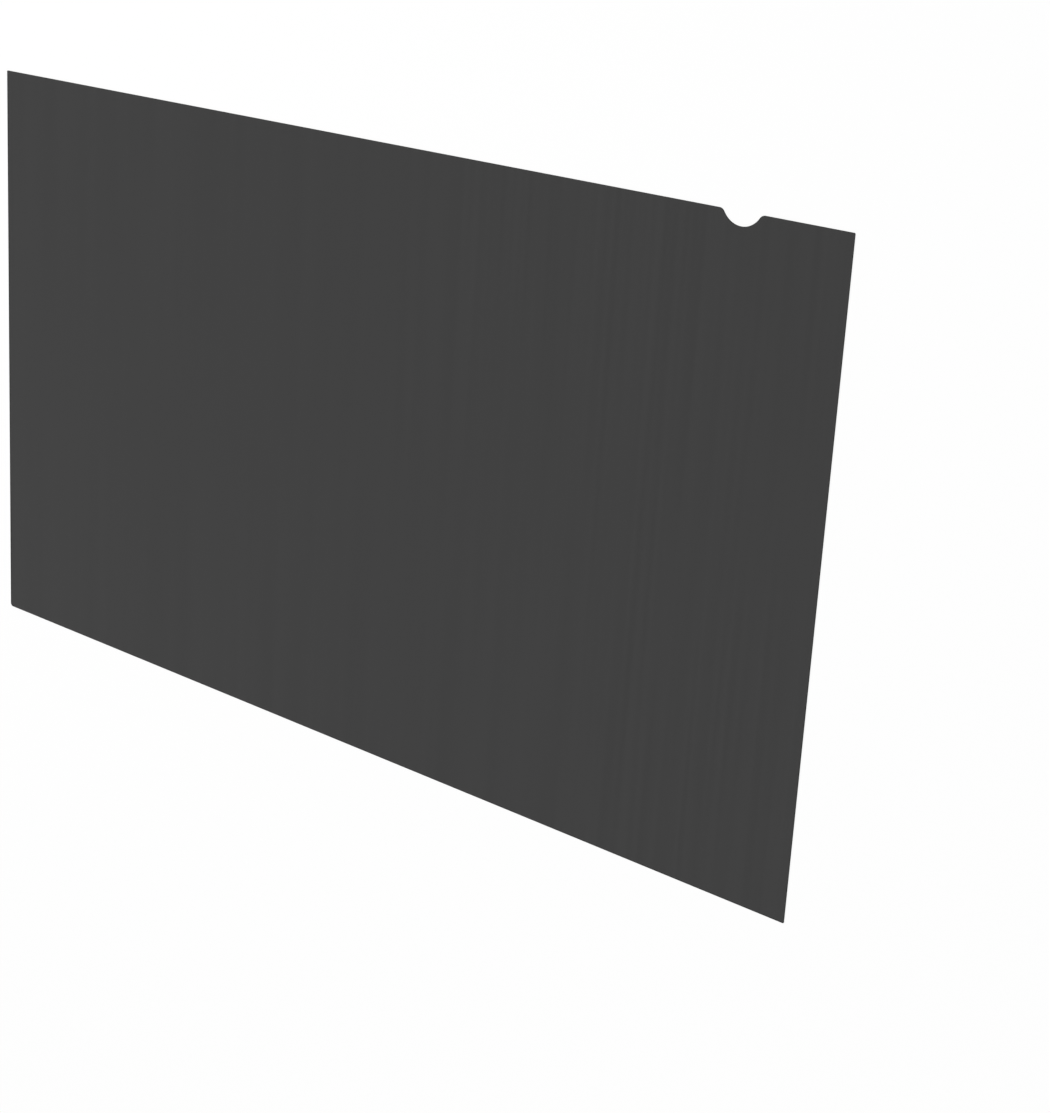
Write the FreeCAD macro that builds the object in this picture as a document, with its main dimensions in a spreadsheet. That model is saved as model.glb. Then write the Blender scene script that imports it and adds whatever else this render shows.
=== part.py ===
# Monitor privacy filter: one flat, die-cut sheet of dark louvre film with a finger notch in its top edge.
#
# The sheet lies on its back face, the one that goes against the screen, with its front face up.
# X runs along the width, Y towards the notched top edge, and Z out of the front face.
# The origin is the middle of the back face. All sizes are in millimetres.

import FreeCAD
import Part
import Sketcher

import math
import os

# Driving dimensions: alias of the cell, value, what it measures
DIMENSIONS = (
    ("sheet_width", "597.7", "long side: a 16:9 screen with a 27 inch diagonal"),
    ("sheet_height", "336.2", "short side of the same screen"),
    ("film_thickness", "0.5", "front face to back face"),
    ("corner_radius", "0.6", "three corners, as the cutting die leaves them"),
    ("lower_left_radius", "2.0", "the one corner that is visibly rounder"),
    ("notch_width", "21.9", "mouth of the finger notch, before its lips are rounded"),
    ("notch_depth", "6.9", "deepest point of the notch below the top edge"),
    ("notch_inset", "61.2", "middle of the notch to the right edge"),
    ("notch_lip_radius", "3.4", "rounding where the notch meets the top edge"),
)

# Sizes that follow from the driving ones, as expressions over the cells
NOTCH_RADIUS = "(dims.notch_width ^ 2 / 4 + dims.notch_depth ^ 2) / (2 * dims.notch_depth)"
NOTCH_CENTRE_X = "dims.sheet_width / 2 - dims.notch_inset"
NOTCH_CENTRE_Y = f"dims.sheet_height / 2 + {NOTCH_RADIUS} - dims.notch_depth"

SAME_PLACE = 1e-6  # mm, two points this close are one
SAME_VOLUME = 1e-6  # share of a volume that rounding may change


def make_dimension_cells(document):
    """The spreadsheet that every sketch and feature reads its sizes from."""
    cells = document.addObject("Spreadsheet::Sheet", "dims")
    for row, (alias, value, meaning) in enumerate(DIMENSIONS, start=1):
        cells.set(f"A{row}", alias)
        cells.set(f"B{row}", value)
        cells.set(f"C{row}", meaning)
        cells.setAlias(f"B{row}", alias)
    document.recompute()
    return cells


def new_sketch(body, name):
    """An empty sketch on the body's own XY plane, where the sheet's back face lies."""
    sketch = body.newObject("Sketcher::SketchObject", name)
    back_plane = next(plane for plane in body.Origin.OriginFeatures if plane.Role == "XY_Plane")
    sketch.AttachmentSupport = (back_plane, [""])
    sketch.MapMode = "FlatFace"
    return sketch


def bind(sketch, name, expression, kind, *places):
    """Adds a sketch dimension under a name, and ties its value to the cells."""
    value = float(sketch.evalExpression(expression))
    index = sketch.addConstraint(Sketcher.Constraint(kind, *places, value))
    sketch.renameConstraint(index, name)
    sketch.setExpression(f"Constraints.{name}", expression)


def sketch_outline(body, cells):
    """The sheet's rectangle, centred on the origin."""
    sketch = new_sketch(body, "outline")
    half_width = cells.sheet_width / 2
    half_height = cells.sheet_height / 2
    corners = [
        FreeCAD.Vector(x_side * half_width, y_side * half_height)
        for x_side, y_side in ((-1, -1), (1, -1), (1, 1), (-1, 1))
    ]
    bottom, right, top, left = (
        sketch.addGeometry(Part.LineSegment(corners[side], corners[(side + 1) % 4])) for side in range(4)
    )
    origin, start, end = (-1, 1), 1, 2
    for side, following in ((bottom, right), (right, top), (top, left), (left, bottom)):
        sketch.addConstraint(Sketcher.Constraint("Coincident", side, end, following, start))
    for level_side in (bottom, top):
        sketch.addConstraint(Sketcher.Constraint("Horizontal", level_side))
    for upright_side in (right, left):
        sketch.addConstraint(Sketcher.Constraint("Vertical", upright_side))
    sketch.addConstraint(Sketcher.Constraint("Symmetric", bottom, start, top, start, *origin))
    bind(sketch, "width", "dims.sheet_width", "DistanceX", bottom, start, bottom, end)
    bind(sketch, "height", "dims.sheet_height", "DistanceY", right, start, right, end)
    return sketch


def sketch_notch(body):
    """The round punch that overlaps the top edge, so that it leaves a mouth of the given width and depth."""
    sketch = new_sketch(body, "notch_punch")
    centre = FreeCAD.Vector(*(float(sketch.evalExpression(e)) for e in (NOTCH_CENTRE_X, NOTCH_CENTRE_Y)))
    radius = float(sketch.evalExpression(NOTCH_RADIUS))
    punch = sketch.addGeometry(Part.Circle(centre, FreeCAD.Vector(0, 0, 1), radius))
    origin, middle = (-1, 1), 3
    bind(sketch, "radius", NOTCH_RADIUS, "Radius", punch)
    bind(sketch, "centre_x", NOTCH_CENTRE_X, "DistanceX", *origin, punch, middle)
    bind(sketch, "centre_y", NOTCH_CENTRE_Y, "DistanceY", *origin, punch, middle)
    return sketch


def upright_edges(feature, places):
    """Names of the feature's edges that run along Z through the given (x, y) places."""
    names = []
    for x, y in places:
        for number, edge in enumerate(feature.Shape.Edges, start=1):
            if all(math.hypot(v.X - x, v.Y - y) < SAME_PLACE for v in edge.Vertexes):
                names.append(f"Edge{number}")
    if len(names) != len(places):
        raise RuntimeError(f"{feature.Name}: {len(names)} upright edges at {len(places)} places")
    return names


def round_edges(body, base, name, places, radius):
    """A fillet on the upright edges at the given places. radius is an expression over the cells."""
    fillet = body.newObject("PartDesign::Fillet", name)
    fillet.Base = (base, upright_edges(base, places))
    fillet.setExpression("Radius", radius)
    body.Document.recompute()
    return fillet


def make_filter_sheet(document, cells):
    """The sheet itself: a blank, a notch punched through it, and rounded corners and lips."""
    body = document.addObject("PartDesign::Body", "filter_sheet")
    body.Label = "filter_sheet"

    blank = body.newObject("PartDesign::Pad", "film_blank")
    blank.Profile = sketch_outline(body, cells)
    blank.setExpression("Length", "dims.film_thickness")
    document.recompute()

    notched = body.newObject("PartDesign::Pocket", "finger_notch")
    notched.Profile = sketch_notch(body)
    notched.Type = "ThroughAll"
    notched.Reversed = True  # up through the film, which lies above the sketch
    document.recompute()
    check_notch(blank, notched, cells)

    half_width = cells.sheet_width / 2
    half_height = cells.sheet_height / 2
    notch_x = half_width - cells.notch_inset
    die_corners = [(half_width, -half_height), (half_width, half_height), (-half_width, half_height)]
    lips = [(notch_x + side * cells.notch_width / 2, half_height) for side in (-1, 1)]

    rounded = round_edges(body, notched, "die_corners", die_corners, "dims.corner_radius")
    lower_left = [(-half_width, -half_height)]
    rounded = round_edges(body, rounded, "lower_left_corner", lower_left, "dims.lower_left_radius")
    round_edges(body, rounded, "notch_lips", lips, "dims.notch_lip_radius")
    return body


def check_notch(blank, notched, cells):
    """Stops if the punch did not take the circular segment that its width and depth give."""
    half_mouth = cells.notch_width / 2
    radius = (half_mouth**2 + cells.notch_depth**2) / (2 * cells.notch_depth)
    above_edge = radius - cells.notch_depth
    segment = radius**2 * math.acos(above_edge / radius) - above_edge * half_mouth
    taken = blank.Shape.Volume - notched.Shape.Volume
    if abs(taken - segment * cells.film_thickness) > SAME_VOLUME * blank.Shape.Volume:
        raise RuntimeError(f"the notch took {taken:.3f} mm3 of the film")


def check_document(document, sub_parts):
    """Stops if an object failed to recompute or a sub-part is not one valid solid."""
    failed = [o.Label for o in document.Objects if {"Invalid", "Error"} & set(o.State)]
    if failed:
        raise RuntimeError(f"failed to recompute: {', '.join(failed)}")
    for sub_part in sub_parts:
        shape = sub_part.Shape
        if shape.isNull() or not shape.isValid() or len(shape.Solids) != 1:
            raise RuntimeError(f"{sub_part.Label} is not one valid solid")


def main():
    document = FreeCAD.newDocument("privacy_filter")
    cells = make_dimension_cells(document)
    sub_parts = [make_filter_sheet(document, cells)]
    document.recompute()
    check_document(document, sub_parts)
    os.makedirs("parts", exist_ok=True)
    for sub_part in sub_parts:
        sub_part.Shape.exportStep(os.path.join("parts", f"{sub_part.Label}.step"))
        box = sub_part.Shape.BoundBox
        print(f"{sub_part.Label}: {box.XLength:.2f} x {box.YLength:.2f} x {box.ZLength:.2f} mm, "
              f"{sub_part.Shape.Volume:.1f} mm3")


main()
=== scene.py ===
"""Looks of a monitor privacy filter: one die-cut sheet of dark louvre film, lying on a pale floor."""

import math

import bmesh
import bpy
from bpy.props import FloatProperty, FloatVectorProperty, PointerProperty
from mathutils import Matrix, Vector


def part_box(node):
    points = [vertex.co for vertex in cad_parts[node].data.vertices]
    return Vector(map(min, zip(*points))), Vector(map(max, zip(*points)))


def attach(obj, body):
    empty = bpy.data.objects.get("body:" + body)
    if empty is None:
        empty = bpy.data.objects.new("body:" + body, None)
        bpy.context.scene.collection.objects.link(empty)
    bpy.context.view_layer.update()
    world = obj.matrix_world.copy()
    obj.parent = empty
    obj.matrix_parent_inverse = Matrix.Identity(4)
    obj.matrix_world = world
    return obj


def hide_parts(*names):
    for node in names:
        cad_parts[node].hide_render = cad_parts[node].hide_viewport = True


bl_info = {
    "name": "Monitor privacy filter",
    "version": (1, 0, 0),
    "blender": (4, 5, 0),
    "location": "View3D > Sidebar > Privacy filter",
    "description": "Makes the louvre film of a monitor privacy filter, and the stage that it lies on",
    "category": "Object",
}

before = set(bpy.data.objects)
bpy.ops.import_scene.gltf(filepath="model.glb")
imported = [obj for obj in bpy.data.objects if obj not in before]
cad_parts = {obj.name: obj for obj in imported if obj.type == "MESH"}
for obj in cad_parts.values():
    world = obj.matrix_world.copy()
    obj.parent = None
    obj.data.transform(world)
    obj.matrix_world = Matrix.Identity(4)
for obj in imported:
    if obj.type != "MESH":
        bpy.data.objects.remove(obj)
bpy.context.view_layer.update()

SHEET_NODE = "filter_sheet"
SHEET_BODY = "root"
SHEET_LOW, SHEET_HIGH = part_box(SHEET_NODE)
SHEET_SIZE = SHEET_HIGH - SHEET_LOW

MILLIMETRE = 0.001

# Fineness of the mesh: straight pieces in each round stretch
CORNER_STEPS = 10
LIP_STEPS = 14
NOTCH_STEPS = 56
ARRIS_STEPS = 4

# Material slots of the sheet's mesh, in order
FRONT, BACK, EDGE = range(3)

# How far the roughness swings with each pattern
WAVE_ROUGHNESS = 0.04
GRAIN_ROUGHNESS = 0.02
MARK_ROUGHNESS = 0.2

# Middle of a noise texture's range, which is 0 to 1
NOISE_MIDDLE = 0.5

# The floor, in metres: middle to side, gap below the sheet, and how far out its shadows fade and end
FLOOR_REACH = 10
FLOOR_DROP = 0.1 * MILLIMETRE
SHADOW_FADES = 0.5
SHADOW_ENDS = 1.5

# Place and size of the two softboxes, in metres
KEY_PLACE = (-1.1, 1.3, 1.9)
KEY_SIZE = (1.8, 1.2)
FILL_PLACE = (1.4, -1.5, 1.3)
FILL_SIZE = (1.2, 1.2)


class FilmSizes(bpy.types.PropertyGroup):
    """Sizes of the sheet. The frame gives the first three."""

    width: FloatProperty(
        name="Width", description="Long side of the sheet", default=SHEET_SIZE.x, unit="LENGTH"
    )
    height: FloatProperty(
        name="Height", description="Short side of the sheet", default=SHEET_SIZE.y, unit="LENGTH"
    )
    thickness: FloatProperty(
        name="Thickness", description="Back face to front face", default=SHEET_SIZE.z, unit="LENGTH"
    )
    corner_radius: FloatProperty(
        name="Corner radius",
        description="Rounding of three corners, as the cutting die leaves them",
        default=0.6 * MILLIMETRE,
        unit="LENGTH",
    )
    lower_left_radius: FloatProperty(
        name="Lower left radius",
        description="Rounding of the one corner that is rounder than the rest",
        default=2.0 * MILLIMETRE,
        unit="LENGTH",
    )
    notch_width: FloatProperty(
        name="Notch width",
        description="Mouth of the finger notch, before its lips are rounded",
        default=21.9 * MILLIMETRE,
        unit="LENGTH",
    )
    notch_depth: FloatProperty(
        name="Notch depth",
        description="Deepest point of the finger notch below the top edge",
        default=6.9 * MILLIMETRE,
        unit="LENGTH",
    )
    notch_inset: FloatProperty(
        name="Notch inset",
        description="Middle of the finger notch to the right edge",
        default=61.2 * MILLIMETRE,
        unit="LENGTH",
    )
    notch_lip_radius: FloatProperty(
        name="Notch lip radius",
        description="Rounding where the finger notch meets the top edge",
        default=3.4 * MILLIMETRE,
        unit="LENGTH",
    )
    arris_radius: FloatProperty(
        name="Arris radius",
        description="Rounding of the cut edge where it meets either face",
        default=0.06 * MILLIMETRE,
        unit="LENGTH",
    )


class FilmFinish(bpy.types.PropertyGroup):
    """Colours, grain and gloss of the film."""

    tint: FloatVectorProperty(
        name="Tint",
        description="Colour of the film's own surface, which is nearly black",
        default=(0.004, 0.004, 0.004),
        subtype="COLOR",
    )
    clear_share: FloatProperty(
        name="Clear share",
        description="Share of the light that goes straight through the sheet, seen from beside the screen",
        default=0.0505,
        min=0,
        max=1,
        subtype="FACTOR",
    )
    streak_depth: FloatProperty(
        name="Streak depth",
        description="How far the film's cover swings from one faint streak to the next",
        default=0.025,
        min=0,
        max=1,
        subtype="FACTOR",
    )
    streak_width: FloatProperty(
        name="Streak width",
        description="Width of a faint streak, across the louvres",
        default=3.5 * MILLIMETRE,
        unit="LENGTH",
    )
    streak_length: FloatProperty(
        name="Streak length",
        description="Length of a faint streak, along the louvres",
        default=290 * MILLIMETRE,
        unit="LENGTH",
    )
    wave_size: FloatProperty(
        name="Wave size",
        description="Length of the gentle waves that thin film has as it lies",
        default=90 * MILLIMETRE,
        unit="LENGTH",
    )
    wave_relief: FloatProperty(
        name="Wave relief",
        description="Height of the gentle waves, seen only in the sheen",
        default=0.12 * MILLIMETRE,
        unit="LENGTH",
    )
    gloss: FloatProperty(
        name="Gloss",
        description="Mirror share of the coated surface, where a half is bare plastic",
        default=0.045,
        min=0,
        max=1,
        subtype="FACTOR",
    )
    front_roughness: FloatProperty(
        name="Front roughness",
        description="Satin of the anti-glare front face",
        default=0.24,
        min=0,
        max=1,
        subtype="FACTOR",
    )
    front_grain: FloatProperty(
        name="Front grain",
        description="Size of the anti-glare grain of the front face",
        default=0.9 * MILLIMETRE,
        unit="LENGTH",
    )
    back_roughness: FloatProperty(
        name="Back roughness",
        description="Satin of the smoother back face",
        default=0.18,
        min=0,
        max=1,
        subtype="FACTOR",
    )
    back_grain: FloatProperty(
        name="Back grain",
        description="Size of the softer grain of the back face",
        default=2.5 * MILLIMETRE,
        unit="LENGTH",
    )
    edge_dark: FloatVectorProperty(
        name="Edge dark",
        description="Colour of the cut edge in the marks that the die drew across it",
        default=(0.003, 0.003, 0.003),
        subtype="COLOR",
    )
    edge_pale: FloatVectorProperty(
        name="Edge pale",
        description="Colour of the cut edge between those marks",
        default=(0.02, 0.02, 0.02),
        subtype="COLOR",
    )
    edge_roughness: FloatProperty(
        name="Edge roughness",
        description="Roughness of the cut edge",
        default=0.5,
        min=0,
        max=1,
        subtype="FACTOR",
    )
    mark_width: FloatProperty(
        name="Mark width",
        description="Width of the marks that the die drew across the cut edge",
        default=0.4 * MILLIMETRE,
        unit="LENGTH",
    )
    mark_length: FloatProperty(
        name="Mark length",
        description="Length of those marks, from face to face and beyond",
        default=2.0 * MILLIMETRE,
        unit="LENGTH",
    )
    mark_relief: FloatProperty(
        name="Mark relief",
        description="Height of the marks on the cut edge",
        default=0.01 * MILLIMETRE,
        unit="LENGTH",
    )


class StageSettings(bpy.types.PropertyGroup):
    """Camera, floor and light."""

    camera_place: FloatVectorProperty(
        name="Camera place",
        description="Where the camera stands",
        default=(0.85327, 0.34339, 0.88260),
        subtype="TRANSLATION",
        unit="LENGTH",
    )
    camera_aim: FloatVectorProperty(
        name="Camera aim",
        description="Point of the sheet in the middle of the picture",
        default=(0.12294, -0.02672, SHEET_HIGH.z),
        subtype="TRANSLATION",
        unit="LENGTH",
    )
    camera_roll: FloatProperty(
        name="Camera roll",
        description="Turn of the picture, from the sheet's top edge being up",
        default=math.radians(3.632),
        subtype="ANGLE",
        unit="ROTATION",
    )
    lens: FloatProperty(
        name="Lens", description="Focal length", default=76.379, unit="CAMERA"
    )
    floor_colour: FloatVectorProperty(
        name="Floor colour",
        description="Colour of the floor, where it takes light and shadow",
        default=(0.92, 0.92, 0.92),
        subtype="COLOR",
    )
    shadow_share: FloatProperty(
        name="Shadow share",
        description="Share of the floor's look that lamps and shadows make. The rest is even white",
        default=0.10,
        min=0,
        max=1,
        subtype="FACTOR",
    )
    ambient: FloatProperty(
        name="Ambient light", description="Even light from all round", default=0.45, min=0
    )
    key_power: FloatProperty(
        name="Key power", description="Power of the large softbox", default=46, min=0, unit="POWER"
    )
    fill_power: FloatProperty(
        name="Fill power", description="Power of the softbox opposite", default=12, min=0, unit="POWER"
    )


class FilterSettings(bpy.types.PropertyGroup):
    """All settings of the privacy filter."""

    sizes: PointerProperty(name="Sizes", description="Sizes of the sheet", type=FilmSizes)
    finish: PointerProperty(name="Finish", description="Colours, grain and gloss", type=FilmFinish)
    stage: PointerProperty(name="Stage", description="Camera, floor and light", type=StageSettings)


class Wire:
    """A node's output that takes part in sums: each operator adds one Math node to the tree."""

    def __init__(self, tree, socket):
        self.tree = tree
        self.socket = socket

    def __getitem__(self, name):
        """Another output of the same node."""
        return Wire(self.tree, self.socket.node.outputs[name])

    def maths(self, operation, first, second):
        """One Math node, whose inputs are wires or numbers."""
        return self.tree.add("ShaderNodeMath", {"operation": operation}, {0: first, 1: second})

    def __add__(self, other):
        return self.maths("ADD", self, other)

    def __radd__(self, other):
        return self.maths("ADD", other, self)

    def __sub__(self, other):
        return self.maths("SUBTRACT", self, other)

    def __rsub__(self, other):
        return self.maths("SUBTRACT", other, self)

    def __mul__(self, other):
        return self.maths("MULTIPLY", self, other)

    def __rmul__(self, other):
        return self.maths("MULTIPLY", other, self)

    def __or__(self, other):
        """The larger of two masks."""
        return self.maths("MAXIMUM", self, other)


class Tree:
    """A material's or the world's nodes."""

    def __init__(self, owner):
        owner.use_nodes = True
        self.nodes = owner.node_tree.nodes
        self.links = owner.node_tree.links
        self.nodes.clear()

    def add(self, kind, settings=(), sockets=()):
        """Makes a node: its settings, then the values or links of its sockets. Gives its first output."""
        node = self.nodes.new(kind)
        for name, value in dict(settings).items():
            setattr(node, name, value)
        for name, value in dict(sockets).items():
            if isinstance(value, Wire):
                self.links.new(value.socket, node.inputs[name])
            else:
                node.inputs[name].default_value = value
        return Wire(self, node.outputs[0]) if node.outputs else None

    def place(self):
        """Position in the sheet's frame, in metres."""
        return self.add("ShaderNodeTexCoord")["Object"]

    def swing(self, place, size, stretch=(1, 1, 1), detail=0):
        """Noise about zero, with features of the given size in metres, longer where stretch is small."""
        stretched = self.add("ShaderNodeVectorMath", {"operation": "MULTIPLY"}, {0: place, 1: stretch})
        sockets = {"Vector": stretched, "Scale": 1 / size, "Detail": detail}
        return self.add("ShaderNodeTexNoise", {}, sockets) - NOISE_MIDDLE

    def bump(self, height):
        """Surface normal of a relief whose height is in metres."""
        return self.add("ShaderNodeBump", {}, {"Distance": 1, "Height": height})


def film_face(name, finish, roughness, grain_size):
    """One face of the film: a dark tint with a satin sheen, and some light from behind shows through."""
    material = bpy.data.materials.new(name)
    tree = Tree(material)
    place = tree.place()
    along_louvres = (1, finish.streak_width / finish.streak_length, 1)
    streaks = tree.swing(place, finish.streak_width, along_louvres, detail=2)
    waves = tree.swing(place, finish.wave_size)
    grain = tree.swing(place, grain_size)
    # Light goes through two faces, so each lets the square root of the clear share pass
    cover = 1 - math.sqrt(finish.clear_share)
    shader = tree.add(
        "ShaderNodeBsdfPrincipled",
        {},
        {
            "Base Color": (*finish.tint, 1),
            "Roughness": roughness + WAVE_ROUGHNESS * waves + GRAIN_ROUGHNESS * grain,
            "Specular IOR Level": finish.gloss,
            "Alpha": cover + finish.streak_depth * streaks,
            "Normal": tree.bump(finish.wave_relief * waves),
        },
    )
    tree.add("ShaderNodeOutputMaterial", {}, {"Surface": shader})
    return material


def front_finish(finish):
    """The anti-glare face, turned to the viewer."""
    return film_face("anti_glare_front", finish, finish.front_roughness, finish.front_grain)


def back_finish(finish):
    """The smoother face, which goes against the screen."""
    return film_face("smooth_back", finish, finish.back_roughness, finish.back_grain)


def edge_finish(finish):
    """The die-cut edge, black and dull, with fine marks that the blade drew from face to face."""
    material = bpy.data.materials.new("cut_edge")
    tree = Tree(material)
    face_to_face = (1, 1, finish.mark_width / finish.mark_length)
    marks = tree.swing(tree.place(), finish.mark_width, face_to_face)
    colour = tree.add(
        "ShaderNodeMix",
        {"data_type": "RGBA"},
        {"Factor": marks + NOISE_MIDDLE, "A": (*finish.edge_dark, 1), "B": (*finish.edge_pale, 1)},
    )["Result"]
    shader = tree.add(
        "ShaderNodeBsdfPrincipled",
        {},
        {
            "Base Color": colour,
            "Roughness": finish.edge_roughness + MARK_ROUGHNESS * marks,
            "Specular IOR Level": finish.gloss,
            "Normal": tree.bump(finish.mark_relief * marks),
        },
    )
    tree.add("ShaderNodeOutputMaterial", {}, {"Surface": shader})
    return material


def arc(centre, radius, start, end, steps):
    """Points of an arc from one angle to another, both ends included."""
    angles = (start + (end - start) * step / steps for step in range(steps + 1))
    return [centre + radius * Vector((math.cos(angle), math.sin(angle))) for angle in angles]


def corner(sizes, x_side, y_side, radius, inset):
    """A quarter round at one corner of the sheet, anticlockwise."""
    centre = Vector((x_side * (sizes.width / 2 - radius), y_side * (sizes.height / 2 - radius)))
    start = math.atan2(y_side, x_side) - math.pi / 4
    return arc(centre, radius - inset, start, start + math.pi / 2, CORNER_STEPS)


def notch(sizes, inset):
    """The finger notch from right to left: a rounded lip, the arc of the punch, and the other lip."""
    radius = (sizes.notch_width**2 / 4 + sizes.notch_depth**2) / (2 * sizes.notch_depth)
    lip = sizes.notch_lip_radius
    punch = Vector((sizes.width / 2 - sizes.notch_inset, sizes.height / 2 + radius - sizes.notch_depth))
    drop = radius - sizes.notch_depth + lip
    reach = math.sqrt((radius + lip) ** 2 - drop**2)
    tilt = math.atan2(drop, reach)
    right_lip = punch + Vector((reach, -drop))
    left_lip = punch + Vector((-reach, -drop))
    return (
        arc(right_lip, lip - inset, math.pi / 2, math.pi - tilt, LIP_STEPS)[:-1]
        + arc(punch, radius + inset, -tilt, tilt - math.pi, NOTCH_STEPS)[:-1]
        + arc(left_lip, lip - inset, tilt, math.pi / 2, LIP_STEPS)
    )


def sheet_outline(sizes, inset):
    """The sheet's outline, anticlockwise, moved inwards by inset. Each round stretch keeps its centre."""
    return (
        corner(sizes, -1, -1, sizes.lower_left_radius, inset)
        + corner(sizes, 1, -1, sizes.corner_radius, inset)
        + corner(sizes, 1, 1, sizes.corner_radius, inset)
        + notch(sizes, inset)
        + corner(sizes, -1, 1, sizes.corner_radius, inset)
    )


def edge_section(sizes):
    """Inset and height of the cut edge's section, from the back face's rim to the front face's."""
    radius = sizes.arris_radius
    angles = [math.pi / 2 * step / ARRIS_STEPS for step in range(ARRIS_STEPS + 1)]
    back = [(radius * (1 - math.sin(angle)), radius * (1 - math.cos(angle))) for angle in angles]
    front = [(inset, sizes.thickness - height) for inset, height in reversed(back)]
    return back + front


def sheet_mesh(sizes):
    """The sheet as a closed mesh: a wall round the cut edge, and a flat face at its front and back."""
    sheet = bmesh.new()
    rings = [
        [sheet.verts.new((*point, SHEET_LOW.z + height)) for point in sheet_outline(sizes, inset)]
        for inset, height in edge_section(sizes)
    ]
    for lower, upper in zip(rings, rings[1:]):
        for here in range(len(lower)):
            before = here - 1
            wall = sheet.faces.new((lower[before], lower[here], upper[here], upper[before]))
            wall.material_index = EDGE
            wall.smooth = True
    sheet.faces.new(rings[-1]).material_index = FRONT
    sheet.faces.new(reversed(rings[0])).material_index = BACK
    mesh = bpy.data.meshes.new("louvre_film_sheet")
    sheet.to_mesh(mesh)
    sheet.free()
    return mesh


def aimed(place, aim, up):
    """Turn and place of a camera or lamp that looks from place at aim."""
    back = (place - aim).normalized()
    right = up.cross(back).normalized()
    turn = Matrix((right, back.cross(right), back)).transposed()
    return Matrix.Translation(place) @ turn.to_4x4()


def link_new(name, data):
    """A new object in the scene."""
    thing = bpy.data.objects.new(name, data)
    bpy.context.scene.collection.objects.link(thing)
    return thing


def seen_rays(tree):
    """1 for a ray that shows the surface, straight from the camera or by a mirror or glass."""
    rays = tree.add("ShaderNodeLightPath")
    return rays["Is Camera Ray"] | rays["Is Glossy Ray"] | rays["Is Transmission Ray"]


def floor_finish(stage):
    """A pale matte floor that looks nearly white, and takes a share of the shadows near the sheet."""
    material = bpy.data.materials.new("pale_floor")
    tree = Tree(material)
    matte = tree.add("ShaderNodeBsdfDiffuse", {}, {"Color": (*stage.floor_colour, 1)})
    white = tree.add("ShaderNodeEmission")
    away = tree.add("ShaderNodeVectorMath", {"operation": "LENGTH"}, {0: tree.place()})["Value"]
    shadow_share = tree.add(
        "ShaderNodeMapRange",
        {"interpolation_type": "SMOOTHSTEP"},
        {
            "Value": away,
            "From Min": SHADOW_FADES,
            "From Max": SHADOW_ENDS,
            "To Min": stage.shadow_share,
            "To Max": 0,
        },
    )
    white_share = seen_rays(tree) * (1 - shadow_share)
    look = tree.add("ShaderNodeMixShader", {}, {0: white_share, 1: matte, 2: white})
    tree.add("ShaderNodeOutputMaterial", {}, {"Surface": look})
    return material


def add_floor(stage):
    """The floor, a hair below the sheet, so that the two never share a plane."""
    floor = bmesh.new()
    bmesh.ops.create_grid(floor, x_segments=1, y_segments=1, size=FLOOR_REACH)
    bmesh.ops.translate(floor, verts=floor.verts, vec=(0, 0, SHEET_LOW.z - FLOOR_DROP))
    mesh = bpy.data.meshes.new("floor")
    floor.to_mesh(mesh)
    floor.free()
    mesh.materials.append(floor_finish(stage))
    link_new("floor", mesh)


def add_world(stage):
    """Even light from all round, in front of a white background."""
    world = bpy.data.worlds.new("studio")
    bpy.context.scene.world = world
    tree = Tree(world)
    seen = seen_rays(tree)
    strength = seen + (1 - seen) * stage.ambient
    light = tree.add("ShaderNodeBackground", {}, {"Color": (1, 1, 1, 1), "Strength": strength})
    tree.add("ShaderNodeOutputWorld", {}, {"Surface": light})


def add_softbox(name, place, size, power):
    """A large soft lamp, aimed at the middle of the sheet."""
    lamp = bpy.data.lights.new(name, "AREA")
    lamp.shape = "RECTANGLE"
    lamp.size, lamp.size_y = size
    lamp.energy = power
    softbox = link_new(name, lamp)
    softbox.matrix_world = aimed(Vector(place), Vector(), Vector((0, 0, 1)))
    softbox.visible_camera = False


def add_camera(stage):
    """The camera, with the sheet's notched edge at the top of the picture."""
    lens = bpy.data.cameras.new("camera")
    lens.lens = stage.lens
    camera = link_new("camera", lens)
    look = aimed(Vector(stage.camera_place), Vector(stage.camera_aim), Vector((0, 1, 0)))
    camera.matrix_world = look @ Matrix.Rotation(stage.camera_roll, 4, "Z")
    bpy.context.scene.camera = camera


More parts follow.
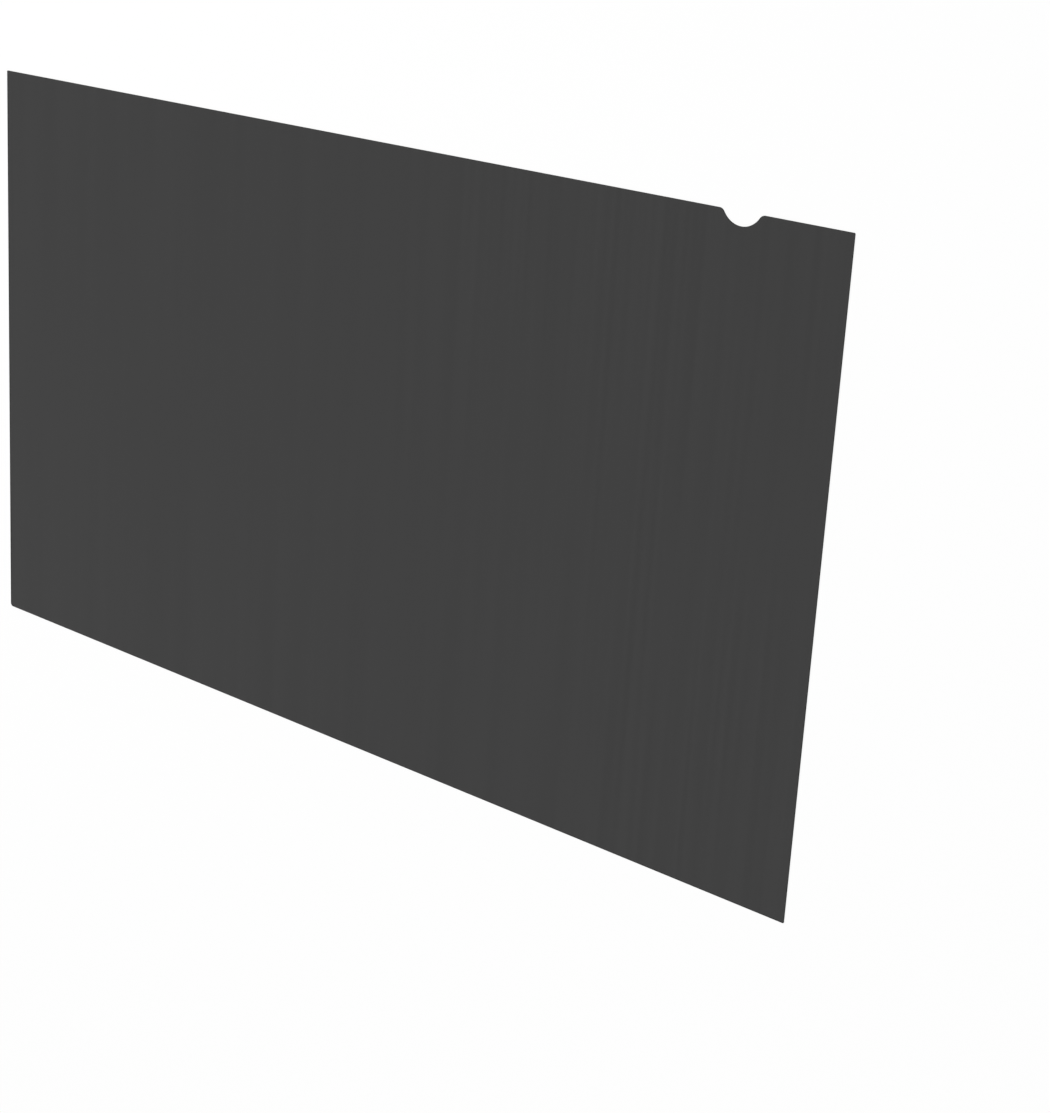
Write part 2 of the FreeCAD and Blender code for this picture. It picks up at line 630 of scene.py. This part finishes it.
class PRIVACY_FILTER_OT_film_sheet(bpy.types.Operator):
    """Make the sheet of louvre film, with its finger notch and finishes"""

    bl_idname = "privacy_filter.film_sheet"
    bl_label = "Make film sheet"

    def execute(self, context):
        settings = context.scene.privacy_filter
        mesh = sheet_mesh(settings.sizes)
        for finish in (front_finish, back_finish, edge_finish):
            mesh.materials.append(finish(settings.finish))
        sheet = link_new("louvre_film_sheet", mesh)
        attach(sheet, SHEET_BODY)
        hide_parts(SHEET_NODE)
        return {"FINISHED"}


class PRIVACY_FILTER_OT_stage(bpy.types.Operator):
    """Make the floor, the light and the camera"""

    bl_idname = "privacy_filter.stage"
    bl_label = "Make stage"

    def execute(self, context):
        stage = context.scene.privacy_filter.stage
        add_floor(stage)
        add_world(stage)
        add_softbox("key_softbox", KEY_PLACE, KEY_SIZE, stage.key_power)
        add_softbox("fill_softbox", FILL_PLACE, FILL_SIZE, stage.fill_power)
        add_camera(stage)
        context.scene.view_settings.view_transform = "Standard"
        return {"FINISHED"}


class PRIVACY_FILTER_PT_panel(bpy.types.Panel):
    """Sidebar page of the privacy filter"""

    bl_idname = "PRIVACY_FILTER_PT_panel"
    bl_label = "Privacy filter"
    bl_space_type = "VIEW_3D"
    bl_region_type = "UI"
    bl_category = "Privacy filter"

    def draw(self, context):
        settings = context.scene.privacy_filter
        for operator, groups in (
            (PRIVACY_FILTER_OT_film_sheet, (settings.sizes, settings.finish)),
            (PRIVACY_FILTER_OT_stage, (settings.stage,)),
        ):
            box = self.layout.box()
            for group in groups:
                for name in group.__annotations__:
                    box.prop(group, name)
            box.operator(operator.bl_idname)


CLASSES = (
    FilmSizes,
    FilmFinish,
    StageSettings,
    FilterSettings,
    PRIVACY_FILTER_OT_film_sheet,
    PRIVACY_FILTER_OT_stage,
    PRIVACY_FILTER_PT_panel,
)


def register():
    for each in CLASSES:
        bpy.utils.register_class(each)
    bpy.types.Scene.privacy_filter = PointerProperty(type=FilterSettings)


def unregister():
    del bpy.types.Scene.privacy_filter
    for each in reversed(CLASSES):
        bpy.utils.unregister_class(each)


def main():
    register()
    bpy.ops.privacy_filter.film_sheet()
    bpy.ops.privacy_filter.stage()


if __name__ == "__main__":
    main()
